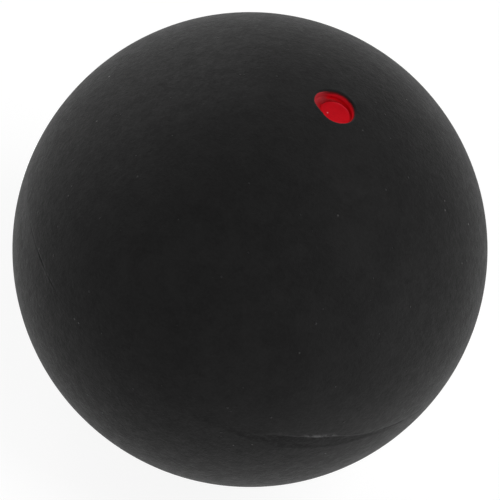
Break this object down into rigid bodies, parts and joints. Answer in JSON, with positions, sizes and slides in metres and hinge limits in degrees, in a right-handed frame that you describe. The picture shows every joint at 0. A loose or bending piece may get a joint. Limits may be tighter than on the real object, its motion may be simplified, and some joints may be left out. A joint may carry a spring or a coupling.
{
  "type": "squash ball",
  "caption": "Small hollow ball of matte black rubber, cemented from two moulded halves along a fine seam, with a red speed dot in a dimple.",
  "frame": {"origin": "middle of the ball", "axes": "+Z out through the middle of the speed dot, square to the seam; +X towards the side on which the dot's thick drop of ink dried; the seam lies in the XY plane"},
  "size_m": [0.04, 0.04, 0.0399],
  "materials": {
    "shell_rubber": "matte, buffed, with a fine grain and a few pale specks",
    "cured_cement": "matte black cured rubber cement",
    "dot_ink": "matte red ink, thick and bright on the pad, thin and darker round it"
  },
  "bodies": {
    "root": {"upper_shell": "shell_rubber", "lower_shell": "shell_rubber", "seam_cement": "cured_cement", "speed_dot": "dot_ink"}
  },
  "joints": []
}
